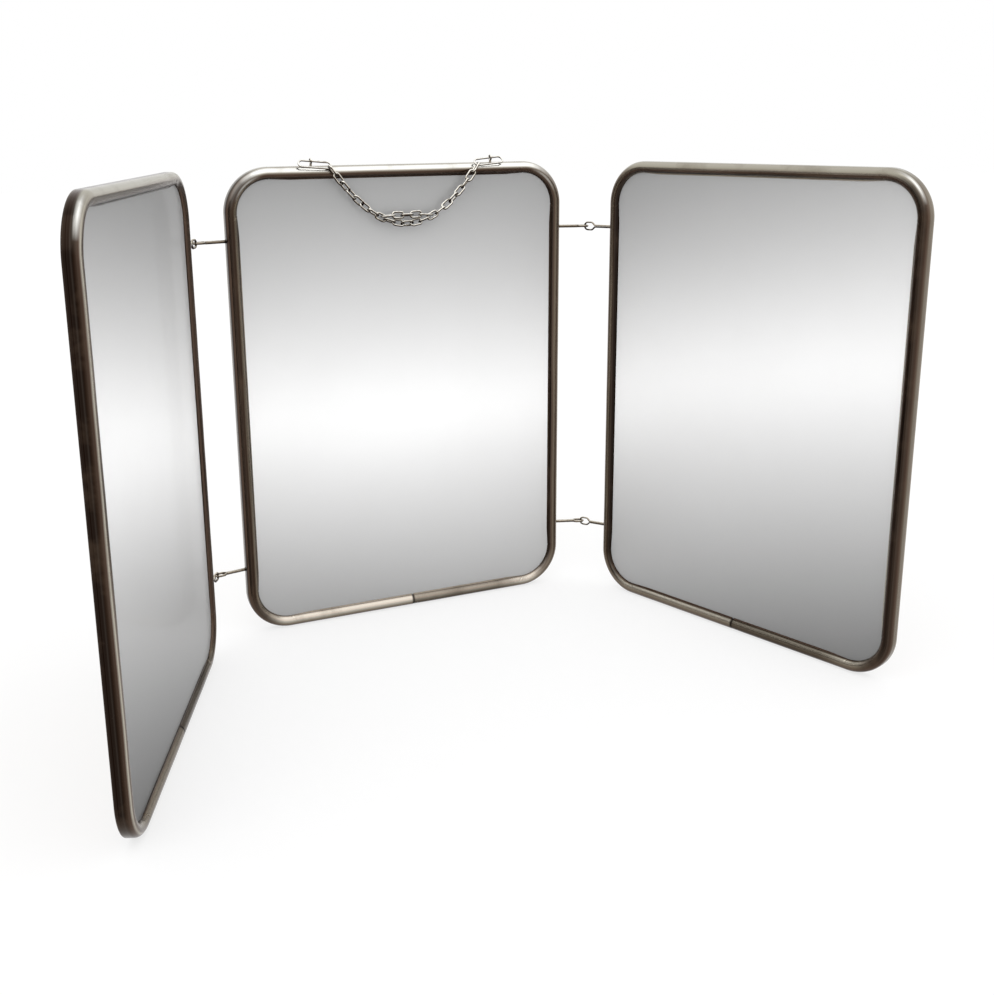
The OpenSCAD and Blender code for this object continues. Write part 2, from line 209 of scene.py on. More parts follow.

# The painted reflections, bands of light and shade, that each rail shows across its section: 0.25
# is the fold at the back, 0.28 to 0.46 the side wall, 0.75 the front of the bead and 1 its foot on
# the glass
PAINTED_RAIL_BANDS = {
    "centre": {
        "left": [(0.20, KHAKI), (0.30, KHAKI), (0.44, DARK), (0.50, BLACK), (0.58, BROWN),
                 (0.66, DARK), (0.78, DARK), (0.84, KHAKI), (0.90, KHAKI), (0.95, BROWN),
                 (0.99, LIGHT)],
        "right": [(0.20, KHAKI), (0.30, LIGHT), (0.48, LIGHT), (0.56, PALE), (0.63, KHAKI),
                  (0.71, BROWN), (0.79, KHAKI), (0.85, BROWN), (0.91, BLACK), (0.98, DARK)],
        "top": [(0.10, LIGHT), (0.24, LIGHT), (0.36, PALE), (0.55, PALE), (0.60, WHITE),
                (0.70, WHITE), (0.755, LIGHT), (0.80, BROWN), (0.88, DARK), (0.98, DARK)],
        "bottom": [(0.20, DARK), (0.40, DARK), (0.54, DARK), (0.61, BROWN), (0.66, KHAKI),
                   (0.71, LIGHT), (0.76, PALE), (0.82, ROSE), (0.88, CREAM), (0.93, ROSE),
                   (0.98, LIGHT)],
    },
    "left": {
        "left": [(0.20, DARK), (0.30, BLACK), (0.46, BLACK), (0.53, DARK), (0.60, BROWN),
                 (0.655, PALE), (0.71, BROWN), (0.80, KHAKI), (0.90, LIGHT), (0.98, BLACK)],
        "right": [(0.20, KHAKI), (0.30, LIGHT), (0.45, KHAKI), (0.55, LIGHT), (0.66, BROWN),
                  (0.74, BROWN), (0.82, BROWN), (0.88, DARK), (0.95, BROWN), (0.98, DARK)],
        "top": [(0.10, LIGHT), (0.24, KHAKI), (0.32, BROWN), (0.43, BROWN), (0.50, STONE),
                (0.67, STONE), (0.74, LIGHT), (0.81, KHAKI), (0.90, BROWN), (0.98, DARK)],
        "bottom": [(0.20, BLACK), (0.40, BLACK), (0.50, DARK), (0.58, BROWN), (0.66, KHAKI),
                   (0.72, BROWN), (0.80, KHAKI), (0.88, LIGHT), (0.94, KHAKI), (0.98, DARK)],
    },
    "right": {
        "left": [(0.20, KHAKI), (0.30, LIGHT), (0.45, LIGHT), (0.54, PALE), (0.61, KHAKI),
                 (0.69, BROWN), (0.78, KHAKI), (0.84, DARK), (0.90, BLACK), (0.98, BLACK)],
        "right": [(0.20, PALE), (0.29, LIGHT), (0.38, KHAKI), (0.47, KHAKI), (0.55, BROWN),
                  (0.64, DARK), (0.76, BLACK), (0.84, DARK), (0.91, BROWN), (0.98, PALE)],
        "top": [(0.10, LIGHT), (0.24, STONE), (0.36, STONE), (0.50, STONE), (0.60, PALE),
                (0.69, STONE), (0.75, LIGHT), (0.81, BROWN), (0.90, BLACK), (0.97, LIGHT)],
        "bottom": [(0.20, BLACK), (0.40, BLACK), (0.50, DARK), (0.58, DARK), (0.66, BROWN),
                   (0.75, KHAKI), (0.82, LIGHT), (0.90, PALE), (0.94, KHAKI), (0.98, BROWN)],
    },
}
# Where the painted highlight lies on the bead as it turns each upper corner: place across the
# section, width, strength
GLEAMS = {"centre": (0.80, 0.05, 0.35), "left": (0.55, 0.09, 1.0), "right": (0.58, 0.07, 0.85)}
WORN = (0.62, 0.55, 0.47)
STAIN = (0.11, 0.075, 0.05)
# Near black, for the darkening in the seam and in the hollows where wires rub
CREVICE_DARK = (0.010, 0.007, 0.005)
# A ramp spans 0 to 1: these spread it over 200 mm past the seam and over 2 mm beside it
DULL_ZOOM, SEAM_ZOOM = 5.0, 500.0
# How far the noise of the rolling's fine lines is squeezed along the strip
ROLLING_STRETCH = 0.012


def nickel_strip(part):
    """Old bright nickel on a rolled strip, its reflections painted in as bands of light and shade. The
    bands that run along each rail follow its section, and the four rails' bands pass into each other
    round the corners."""
    t = Tree(part + "_nickel_strip")
    coords = t.add("TexCoord")
    uv = t.add("SeparateXYZ")
    t.join(coords.outputs["UV"], uv.inputs[0])
    around, along = uv.outputs[0], uv.outputs[1]
    outward_map = t.add("UVMap")
    outward_map.uv_map = "outward"
    outward = t.add("SeparateXYZ")
    t.join(outward_map.outputs[0], outward.inputs[0])
    across = t.ramp(outward.outputs[0], [(0.46, grey(0)), (0.54, grey(1))])
    upward = t.ramp(outward.outputs[1], [(0.46, grey(0)), (0.54, grey(1))])
    rise = t.math("ABSOLUTE", t.math("SUBTRACT", outward.outputs[1], 0.5))
    level = t.ramp(rise, [(0.06, grey(0)), (0.36, grey(0.14)), (0.44, grey(0.45)), (0.49, grey(1))])

    # Fine lines of the rolling, far longer than they are wide, that pull the bands a little
    stretch = t.add("Mapping")
    t.join(coords.outputs["UV"], stretch.inputs["Vector"])
    stretch.inputs["Scale"].default_value = (1, ROLLING_STRETCH, 1)
    lines = t.noise(stretch.outputs[0], 46, 4, 0.65)
    wide_lines = t.noise(stretch.outputs[0], 13, 2, 0.5)
    blotch = t.noise(coords.outputs["Object"], 42, 5, 0.6)
    cloud = t.noise(coords.outputs["Object"], 9, 2, 0.5)
    wander = t.math("MULTIPLY", t.math("SUBTRACT", cloud, 0.5), 0.10)
    place = t.math("ADD", around, wander)

    # Painted reflections: each rail's bands of light and shade, mixed by the way the rail faces
    rails = {side: t.ramp(place, stops) for side, stops in PAINTED_RAIL_BANDS[part].items()}
    sides = t.mix(across, rails["left"], rails["right"])
    ends = t.mix(upward, rails["bottom"], rails["top"])
    middle, width, strength = GLEAMS[part]
    banded = t.mix(level, sides, ends)
    # A painted highlight where the bead turns each upper corner
    corner = t.ramp(rise, [(0.16, grey(0)), (0.34, grey(1)), (0.42, grey(1)), (0.49, grey(0))])
    gleam = t.ramp(place, [(middle - width, grey(0)), (middle, grey(strength)),
                           (middle + width, grey(0))])
    colour = t.mix(t.math("MULTIPLY", t.math("MULTIPLY", corner, gleam), upward), banded, WHITE)
    lined = t.mix(t.ramp(wide_lines, [(0.44, grey(0)), (0.66, grey(0.04))]), colour, WORN)
    stained = t.mix(t.ramp(blotch, [(0.52, grey(0)), (0.80, grey(0.45))]), lined, STAIN)
    # The bottom run is duller past the seam, and darker in the seam and just beside it
    seam_at = t.math("SUBTRACT", along, SEAM_X)
    past = t.ramp(t.math("MULTIPLY", seam_at, DULL_ZOOM),
                  [(0.0, grey(0.6)), (0.35, grey(0.6)), (0.45, grey(0))])
    dulled = t.mix(past, stained, KHAKI, "MULTIPLY")
    turn = t.math("ABSOLUTE", t.math("SUBTRACT", seam_at, STRIP_RUN / 2))
    from_seam = t.math("SUBTRACT", STRIP_RUN / 2, turn)
    seam_dark = t.ramp(t.math("MULTIPLY", from_seam, SEAM_ZOOM), [(0.15, grey(0.9)), (0.75, grey(0))])
    t.join(t.mix(seam_dark, dulled, CREVICE_DARK), t.shader.inputs["Base Color"])
    rough = t.math("ADD", t.math("MULTIPLY", lines, 0.12), t.math("MULTIPLY", blotch, 0.14))
    t.join(t.math("ADD", rough, 0.06), t.shader.inputs["Roughness"])

    # Scratches: thin ridges of a warped noise, a few across the rolling
    scratch = t.add("TexWave", Scale=70.0, Distortion=38.0, Detail=3.0, Detail_Scale=1.4)
    scratch.wave_type = "BANDS"
    t.join(coords.outputs["Object"], scratch.inputs["Vector"])
    thin = t.ramp(scratch.outputs[1], [(0.93, grey(0)), (0.985, grey(1)), (1.0, grey(0))])
    sparse = t.math("MULTIPLY", thin, t.ramp(cloud, [(0.5, grey(0)), (0.6, grey(1))]))
    first = t.bump(lines, 0.12, 0.0004)
    t.join(t.bump(sparse, 0.18, 0.0002, first), t.shader.inputs["Normal"])
    return t.finish(Metallic=1.0)


def wire_nickel(name, painted_light_tones):
    """Drawn wire, with a painted highlight where it faces up and painted shade below, the plating's
    wear showing in patches, and darker where two wires rub."""
    t = Tree(name)
    coords = t.add("TexCoord")
    fine = t.noise(coords.outputs["Object"], 900, 4, 0.6)
    patch = t.noise(coords.outputs["Object"], 320, 3, 0.55)
    normal = t.add("SeparateXYZ")
    t.join(coords.outputs["Normal"], normal.inputs[0])
    # Painted highlight where the wire faces up and painted shade where it faces down
    facing = t.math("MULTIPLY", t.math("ADD", normal.outputs[2], 1.0), 0.5)
    uneven = t.math("MULTIPLY", t.math("SUBTRACT", patch, 0.5), 0.35)
    toned = t.ramp(t.math("ADD", facing, uneven), painted_light_tones)
    spots = t.mix(t.ramp(patch, [(0.52, grey(0)), (0.70, grey(0.55))]), toned, STAIN)
    # Darker in the hollows, where the surface's pointiness is low
    surface_probe = t.add("NewGeometry")
    edge = t.ramp(surface_probe.outputs["Pointiness"], [(0.40, grey(0.8)), (0.48, grey(0))])
    t.join(t.mix(edge, spots, CREVICE_DARK), t.shader.inputs["Base Color"])
    t.join(t.math("ADD", t.math("MULTIPLY", fine, 0.24), 0.08), t.shader.inputs["Roughness"])
    t.join(t.bump(fine, 0.20, 0.0003), t.shader.inputs["Normal"])
    return t.finish(Metallic=1.0)


# Where the bright band of the painted reflection lies on each glass: its height at the panel's
# middle, its slope along the panel, how fast the glass darkens away from it (per metre), and how that
# changes along the panel
BANDS = {"centre": (0.1475, -0.029, 2.75, -1.2), "left": (0.1795, -0.233, 3.5, -5.0),
         "right": (0.179, 0.229, 2.9, 2.3)}
# The band's rounding, in metres from its middle
BAND_SOFTNESS = 0.022
# The fade is even as it is displayed, so its strength is raised to this power
DISPLAY_CURVE = 2.2
HAZE = (0.45, 0.44, 0.42)


def mirror_glass(part, place):
    """Silvered glass with its reflection painted in: a bright band across the middle, fading evenly to
    grey above and below.
    """
    t = Tree(part + "_silvered_glass")
    coords = t.add("TexCoord")
    local = t.add("Mapping")
    back = place.inverted()
    local.inputs["Location"].default_value = back.translation
    local.inputs["Rotation"].default_value = back.to_euler()
    t.join(coords.outputs["Object"], local.inputs["Vector"])
    split = t.add("SeparateXYZ")
    t.join(local.outputs[0], split.inputs[0])
    middle, slope, fade, fade_slope = BANDS[part]
    # The painted reflection: brightest along the band, darker away from it
    band = t.math("ADD", t.math("MULTIPLY", split.outputs[0], slope), middle)
    off_band = t.math("SUBTRACT", split.outputs[2], band)
    squared = t.math("ADD", t.math("MULTIPLY", off_band, off_band), BAND_SOFTNESS ** 2)
    away = t.math("SUBTRACT", t.math("SQRT", squared), BAND_SOFTNESS)
    rate = t.math("ADD", t.math("MULTIPLY", split.outputs[0], fade_slope), fade)
    haze = t.noise(coords.outputs["Object"], 11, 3, 0.5)
    left = t.math("SUBTRACT", 1.0, t.math("MULTIPLY", away, rate), clamp=True)
    shade = t.math("POWER", left, DISPLAY_CURVE)
    tinted = t.mix(shade, grey(0), grey(1))
    t.join(t.mix(t.ramp(haze, [(0.42, grey(0)), (0.75, grey(0.05))]), tinted, HAZE),
           t.shader.inputs["Base Color"])
    t.join(t.math("ADD", t.math("MULTIPLY", haze, 0.08), 0.42), t.shader.inputs["Roughness"])
    return t.finish(Metallic=0.3, Coat_Weight=0.10, Coat_Roughness=0.03)


BOARD_DARK, BOARD_LIGHT = (0.165, 0.105, 0.060), (0.30, 0.205, 0.125)
BOARD_DAMP, BOARD_SCUFF = (0.11, 0.072, 0.045), (0.38, 0.30, 0.21)


def backing_board():
    """Brown pressed board with fibres, scuffs and damp marks."""
    t = Tree("pressed_board")
    coords = t.add("TexCoord")
    fibre_map = t.add("Mapping")
    fibre_map.inputs["Scale"].default_value = (1, 1, 0.25)
    t.join(coords.outputs["Object"], fibre_map.inputs["Vector"])
    fibre = t.noise(fibre_map.outputs[0], 520, 6, 0.7)
    patch = t.noise(coords.outputs["Object"], 16, 5, 0.6)
    spots = t.noise(coords.outputs["Object"], 75, 3, 0.6)
    colour = t.mix(fibre, BOARD_DARK, BOARD_LIGHT)
    aged = t.mix(t.ramp(patch, [(0.45, grey(0)), (0.70, grey(0.6))]), colour, BOARD_DAMP)
    t.join(t.mix(t.ramp(spots, [(0.62, grey(0)), (0.74, grey(0.5))]), aged, BOARD_SCUFF),
           t.shader.inputs["Base Color"])
    t.join(t.math("ADD", t.math("MULTIPLY", patch, 0.2), 0.62), t.shader.inputs["Roughness"])
    t.join(t.bump(fibre, 0.35, 0.0006), t.shader.inputs["Normal"])
    return t.finish()


# ---- Mesh helpers ----
SHARP_ANGLE = 0.6


def new_object(name, verts, faces, mat=None, uvs=None):
    """An object of these faces. uvs holds one pair for each vertex under each layer's name."""
    mesh = bpy.data.meshes.new(name)
    mesh.from_pydata([tuple(v) for v in verts], [], faces)
    mesh.validate()
    for layer_name, pairs in (uvs or {}).items():
        layer = mesh.uv_layers.new(name=layer_name)
        for loop in mesh.loops:
            layer.data[loop.index].uv = pairs[loop.vertex_index]
    if mat is not None:
        mesh.materials.append(mat)
    obj = bpy.data.objects.new(name, mesh)
    bpy.context.scene.collection.objects.link(obj)
    return obj


def faced_outward(obj):
    bm = bmesh.new()
    bm.from_mesh(obj.data)
    bmesh.ops.recalc_face_normals(bm, faces=bm.faces)
    bm.to_mesh(obj.data)
    bm.free()
    return obj


def join(name, objs):
    """Makes one smooth object of several that share a material."""
    bm = bmesh.new()
    for obj in objs:
        bm.from_mesh(obj.data)
    mesh = bpy.data.meshes.new(name)
    bm.to_mesh(mesh)
    bm.free()
    mesh.materials.append(objs[0].data.materials[0])
    mesh.polygons.foreach_set("material_index", [0] * len(mesh.polygons))
    mesh.polygons.foreach_set("use_smooth", [True] * len(mesh.polygons))
    mesh.set_sharp_from_angle(angle=SHARP_ANGLE)
    for obj in objs:
        bpy.data.objects.remove(obj)
    whole = bpy.data.objects.new(name, mesh)
    bpy.context.scene.collection.objects.link(whole)
    return whole


def cut_with(obj, tools):
    for tool in tools:
        mod = obj.modifiers.new("cut", "BOOLEAN")
        mod.operation = "DIFFERENCE"
        mod.solver = "EXACT"
        mod.object = tool
    graph = bpy.context.evaluated_depsgraph_get()
    whole = obj.data
    obj.data = bpy.data.meshes.new_from_object(obj.evaluated_get(graph))
    obj.modifiers.clear()
    bpy.data.meshes.remove(whole)
    for tool in tools:
        bpy.data.objects.remove(tool)


def arc(cx, cy, r, a0, a1, n):
    """Points of a circle from a0 to a1 degrees, both ends included."""
    return [(cx + r * math.cos(math.radians(a0 + (a1 - a0) * i / n)),
             cy + r * math.sin(math.radians(a0 + (a1 - a0) * i / n))) for i in range(n + 1)]


def tube_faces(first, rings, width):
    """Faces between rings of vertices from number first on, and over both ends."""
    faces = []
    for r in range(rings - 1):
        for k in range(width):
            a = first + r * width + k
            b = first + r * width + (k + 1) % width
            faces.append((a, b, b + width, a + width))
    last = first + (rings - 1) * width
    faces.append(tuple(range(first, first + width))[::-1])
    faces.append(tuple(range(last, last + width)))
    return faces


def sweep(points, section_at, side_at):
    """A tube along the points. section_at gives the section at a point's number, and side_at the
    direction of the section's x there."""
    verts = []
    last = len(points) - 1
    for i, point in enumerate(points):
        along = (points[min(i + 1, last)] - points[max(i - 1, 0)]).normalized()
        x = side_at(i)
        x = (x - along * x.dot(along)).normalized()
        y = along.cross(x)
        section = section_at(i)
        verts += [point + x * u + y * v for u, v in section]
    return verts, tube_faces(0, len(points), len(section))


# ---- The rolled strip of a frame ----
HALF_W, HALF_H = PANEL_W / 2 - CORNER_R, PANEL_H / 2 - CORNER_R
BEND_RUN = CORNER_R * math.pi / 2
# Spacing of the strip's rings: in a bend, at its two creases, on straight runs and at the seam
BEND_STEPS = 40
CREASE_STEP, CREASE_STEPS = 0.35 * MM, 14
ROW_STEP, END_ROW, LEAST_STEP = 4 * MM, 0.5 * MM, 0.04 * MM
# The crease that bending leaves where a bend starts and ends, and the ridge beside it
CREASE_FROM = 0.9 * BEAD_R
CREASE_DEPTH, CREASE_WIDTH = 0.26 * MM, 0.42 * MM
RIDGE_HEIGHT, RIDGE_WIDTH, RIDGE_OFF = 0.12 * MM, 0.5 * MM, 0.9 * MM
# How far the strip's first end stands out of line with its last at the seam
SEAM_STEP, SEAM_STEP_RUN = 0.14 * MM, 6 * MM
# Slow waves in the front of the bead, inward only
WAVE_DEPTH, WAVE_RATE, WAVE_BEAT = 0.035 * MM, 160, 47


def strip_outline():
    """The strip's closed section: x inward from the outer wall, y to the back, and the share
    of the way round its outside at each point. The outside comes first, then the inside."""
    bead_in = BEAD_R - STRIP_T
    foot_y = GLASS_Y - SEAT
    foot = math.degrees(math.asin((foot_y - BEAD_Y) / BEAD_R))
    foot_in = math.degrees(math.asin((foot_y - BEAD_Y) / bead_in))
    outside = [(LIP_W, BACK_Y)]
    outside += arc(FOLD_R, BACK_Y - FOLD_R, FOLD_R, 90, 180, 6)
    outside += [(0, BEAD_Y + (BACK_Y - FOLD_R - BEAD_Y) * k / 4) for k in (3, 2, 1)]
    outside += arc(BEAD_R, BEAD_Y, BEAD_R, 180, 360 + foot, 30)
    inside = arc(BEAD_R, BEAD_Y, bead_in, 360 + foot_in, 180, 14)
    inside += arc(FOLD_R, BACK_Y - FOLD_R, FOLD_R - STRIP_T, 180, 90, 3)
    inside += [(LIP_W, BACK_Y - STRIP_T)]
    run = [0.0]
    for a, b in zip(outside, outside[1:]):
        run.append(run[-1] + math.dist(a, b))
    share = [r / run[-1] for r in run] + [0.0] * len(inside)
    return outside + inside, share, len(outside)


def bend_marks():
    """Where each bend starts and ends, along the frame's outer edge from the bottom's middle."""
    marks, at = [], HALF_W
    for straight in (2 * HALF_H, 2 * HALF_W, 2 * HALF_H, 0):
        marks += [at, at + BEND_RUN]
        at += BEND_RUN + straight
    return marks


def path_point(s):
    """The point on the outer edge at s from the bottom's middle, going to +X, up and round, and
    the inward direction there."""
    lines = (HALF_W, 2 * HALF_H, 2 * HALF_W, 2 * HALF_H, HALF_W)
    pos, heading = Vector((0, 0)), 0.0
    for number, line in enumerate(lines):
        along = Vector((math.cos(heading), math.sin(heading)))
        inward = Vector((-along.y, along.x))
        if s <= line or number == len(lines) - 1:
            return pos + along * s, inward
        pos = pos + along * line
        s -= line
        centre = pos + inward * CORNER_R
        outward = Matrix.Rotation(min(s, BEND_RUN) / CORNER_R, 2) @ -inward
        if s <= BEND_RUN:
            return centre + outward * CORNER_R, -outward
        pos = centre + outward * CORNER_R
        s -= BEND_RUN
        heading += math.pi / 2


def strip_rows(start, end, marks):
    """Where the strip's rings lie from its start to its end."""
    stops = {start, end, start + END_ROW, end - END_ROW}
    for mark in marks:
        stops.update(mark + k * CREASE_STEP for k in range(-CREASE_STEPS, CREASE_STEPS + 1))
    for a, b in zip(marks[::2], marks[1::2]):
        stops.update(a + (b - a) * k / BEND_STEPS for k in range(BEND_STEPS + 1))
    count = int((end - start) / ROW_STEP)
    stops.update(start + (end - start) * k / count for k in range(count + 1))
    rows = sorted(s for s in stops if start <= s <= end)
    return [rows[0]] + [b for a, b in zip(rows, rows[1:]) if b - a > LEAST_STEP]


def crease_pull(s, x, marks, seed):
    """How far the inner half of the bead is pulled in at s by the creases near it. They lean, each
    by its own amount."""
    fade = min(1.0, (x - CREASE_FROM) / (0.8 * BEAD_R))
    pull = 0.0
    for i, mark in enumerate(marks):
        lean = (1 if i % 2 else -1) * (0.9 + 0.25 * math.sin(3 * i + seed))
        off = s - mark - lean * (2 * BEAD_R - x)
        pull += CREASE_DEPTH * math.exp(-(off / CREASE_WIDTH) ** 2)
        pull -= RIDGE_HEIGHT * math.exp(-((off - RIDGE_OFF) / RIDGE_WIDTH) ** 2)
    return pull * fade


def frame_mesh(name, mat, seed):
    """One rolled strip swept round the panel, its ends meeting at the seam, with the small
    creases that bending leaves on the inside of the bead."""
    outline, share, n_out = strip_outline()
    start, end = SEAM_X + SEAM_GAP / 2, STRIP_RUN + SEAM_X - SEAM_GAP / 2
    marks = bend_marks()
    rows = strip_rows(start, end, marks)
    verts, uvs = [], {"strip": [], "outward": []}
    for s in rows:
        point, inward = path_point(s if s <= STRIP_RUN else s - STRIP_RUN)
        step = SEAM_STEP * math.exp(-((s - start) / SEAM_STEP_RUN) ** 2)
        swell = math.sin(s * WAVE_RATE + seed * 2.1) * math.sin(s * WAVE_BEAT + seed)
        for k, (x, y) in enumerate(outline):
            in_by, back_by = x, y
            if k < n_out and x > CREASE_FROM and y < 0:
                pull = crease_pull(s, x, marks, seed)
                in_by -= pull * (x - BEAD_R) / BEAD_R
                back_by -= pull * (y - BEAD_Y) / BEAD_R
            if k < n_out and y < BEAD_Y:
                back_by += WAVE_DEPTH * (1 + swell)
            if y < BEAD_Y - MM:
                in_by += step
            edge = point + inward * in_by
            verts.append(Vector((edge.x, back_by, edge.y)))
            uvs["strip"].append((share[k], s))
            uvs["outward"].append((0.5 - inward.x / 2, 0.5 - inward.y / 2))
    return faced_outward(new_object(name, verts, tube_faces(0, len(rows), len(outline)), mat, uvs))


# ---- The folded hem that lies on the glass along the four straight runs ----
HEM_X = 2 * BEAD_R - 0.25 * MM
HEM_Y = GLASS_Y - SEAT
HEM_SECTION = [(HEM_X, HEM_Y), (HEM_X, HEM_Y - HEM_T - 0.1 * MM), (HEM_X + 0.2 * MM, HEM_Y - HEM_T),
               (HEM_X + HEM_W, HEM_Y - HEM_T + 0.12 * MM),
               (2 * BEAD_R + HEM_W, HEM_Y - 0.15 * MM), (2 * BEAD_R + HEM_W, HEM_Y)]
HEM_STEP, HEM_END = 8 * MM, 0.5 * MM
# Towards the corners the hem thins to TAPER_LEAST over TAPER_RUN, and its ends are cut at a slant
TAPER_LEAST, TAPER_RUN, SLANT = 0.06, 14 * MM, 1.6
TAPER_STOPS = (4 * MM, 8 * MM, 14 * MM)
# Each side's outward direction, as the strip's own layer gives it: bottom, right, top, left
HEM_OUTWARD = ((0.5, 0.0), (1.0, 0.5), (0.5, 1.0), (0.0, 0.5))


def hem_point(side, s, x, y):
    """The place s along a side from its middle, x inward from the outer wall, y to the back."""
    return ((s, y, x), (PANEL_W / 2 - x, y, PANEL_H / 2 + s),
            (-s, y, PANEL_H - x), (-PANEL_W / 2 + x, y, PANEL_H / 2 - s))[side]


def hem_rows(a, b):
    count = max(4, int((b - a) / HEM_STEP))
    return [a + HEM_END, *[a + d for d in TAPER_STOPS],
            *[a + (b - a) * k / count for k in range(3, count - 2)],
            *[b - d for d in TAPER_STOPS[::-1]], b - HEM_END]


def hem_mesh(name, mat, seed):
    verts, faces, uvs = [], [], {"strip": [], "outward": []}
    seam = ((-HALF_W, SEAM_X - SEAM_GAP / 2), (SEAM_X + SEAM_GAP / 2, HALF_W))
    runs = [(0, HALF_W, a, b) for a, b in seam]
    runs += [(side, half, -half, half) for side, half in ((1, HALF_H), (2, HALF_W), (3, HALF_H))]
    for side, half, a, b in runs:
        rows = hem_rows(a, b)
        faces += tube_faces(len(verts), len(rows), len(HEM_SECTION))
        for s in rows:
            taper = min(1.0, TAPER_LEAST + min(half + s, half - s) / TAPER_RUN)
            lean = 0
            if s == rows[0] and a == -half:
                lean = SLANT
            elif s == rows[-1] and b == half:
                lean = -SLANT
            for k, (full_x, full_y) in enumerate(HEM_SECTION):
                x = HEM_X + (full_x - HEM_X) * taper
                y = HEM_Y - (HEM_Y - full_y) * taper
                verts.append(Vector(hem_point(side, s + (x - HEM_X) * lean, x, y)))
                uvs["strip"].append((0.96 + 0.04 * k / 5, s + seed + 2 * HALF_W))
                uvs["outward"].append(HEM_OUTWARD[side])
    return faced_outward(new_object(name, verts, faces, mat, uvs))


# ---- The slots for the pins ----
def slot_cutter(side, z):
    """A round-ended tool through the wall at one pin."""
    flat = SLOT_HALF - SLOT_R
    ring = [(y + flat, up) for y, up in arc(0, 0, SLOT_R, -90, 90, 12)]
    ring += [(y - flat, up) for y, up in arc(0, 0, SLOT_R, 90, 270, 12)]
    reach = 1.2 * MM
    wall_x = side * PANEL_W / 2
    n = len(ring)
    verts = [(x, y, z + up) for x in (wall_x - reach, wall_x + reach) for y, up in ring]
    faces = [tuple(range(n))[::-1], tuple(range(n, 2 * n))]
    faces += [(k, (k + 1) % n, (k + 1) % n + n, k + n) for k in range(n)]
    return new_object("cut", verts, faces)


# Tones from the underside to the top: painted shade below and painted highlight above
pin_mat = wire_nickel("nickel_wire_pins", [
    (0.10, BLACK), (0.34, DARK), (0.50, KHAKI), (0.64, KHAKI), (0.78, LIGHT), (0.90, CREAM)])
chain_mat = wire_nickel("nickel_wire_chain", [
    (0.14, BLACK), (0.34, BLACK), (0.44, BROWN), (0.52, LIGHT), (0.62, CREAM), (0.78, WHITE)])
board_mat = backing_board()
bar_mat = wire_nickel("plain_steel_bar", [(0.20, BLACK), (0.50, BROWN), (0.80, KHAKI)])

# ---- Frames ----
SLOT_SIDES = {"centre": (-1, 1), "left": (1,), "right": (-1,)}
for index, part in enumerate(("centre", "left", "right")):
    body = part + "_panel"
    strip_mat = nickel_strip(part)
    strip = frame_mesh(part + "_strip", strip_mat, index * 1.7 + 0.4)
    cut_with(strip, [slot_cutter(side, z) for side in SLOT_SIDES[part] for z in PIN_HEIGHTS])
    hem = hem_mesh(part + "_hem", strip_mat, index * 0.37)
    whole = join(part + "_rolled_frame", [strip, hem])
    whole.data.transform(PLACE[part])
    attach(whole, body)
    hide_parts(part + "_frame")
    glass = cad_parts[part + "_mirror_glass"]
    glass.data.materials.clear()
    glass.data.materials.append(mirror_glass(part, PLACE[part]))
    for node, mat in ((part + "_backing_board", board_mat), (part + "_joint_bar", bar_mat)):
        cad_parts[node].data.materials.clear()
        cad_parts[node].data.materials.append(mat)


# ---- Hinge pins, each drawn along X from its wall with its eye at the far end ----
LEG_GAP = 0.09 * MM
NECK_RUN = 0.4 * MM
LEG_STEPS, NECK_STEPS, SIDE_STEPS, LOOP_STEPS = 10, 8, 3, 20
# Heights of the points on the flat inner side of a wire's section, in radii
FLAT_POINTS = (0.6, 0.2, -0.2, -0.6)
TAIL_STEPS, TAIL_TIP = 8, 0.6


def pin_line():
    """The wire's middle line from one leg round the eye to the other leg, and at each point how
    far the section has passed from a leg's (0) to the eye's (1)."""
    eye_r, eye_half = EYE_W / 2 + EYE_WIRE, (EYE_L - EYE_W) / 2
    eye_mid = PIN_L - eye_r - eye_half
    eye_start = eye_mid - eye_half
    neck = PIN_L - 2 * eye_r - 2 * eye_half - NECK_RUN
    line = [(-TAIL_X + (neck + TAIL_X) * k / LEG_STEPS, LEG_GAP, 0) for k in range(LEG_STEPS)]
    for k in range(NECK_STEPS):
        t = k / NECK_STEPS
        eased = t * t * (3 - 2 * t)
        line.append((neck + (eye_start - neck) * t, LEG_GAP + (eye_r - LEG_GAP) * eased, eased))
    line += [(eye_start + 2 * eye_half * k / SIDE_STEPS, eye_r, 1) for k in range(SIDE_STEPS)]
    back = [(x, -z, blend) for x, z, blend in reversed(line)]
    for k in range(LOOP_STEPS + 1):
        turned = math.pi * k / LOOP_STEPS
        line.append((eye_mid + eye_half + eye_r * math.sin(turned), eye_r * math.cos(turned), 1))
    line += back
    return [Vector((x, 0, z)) for x, z, _ in line], [blend for _, _, blend in line]


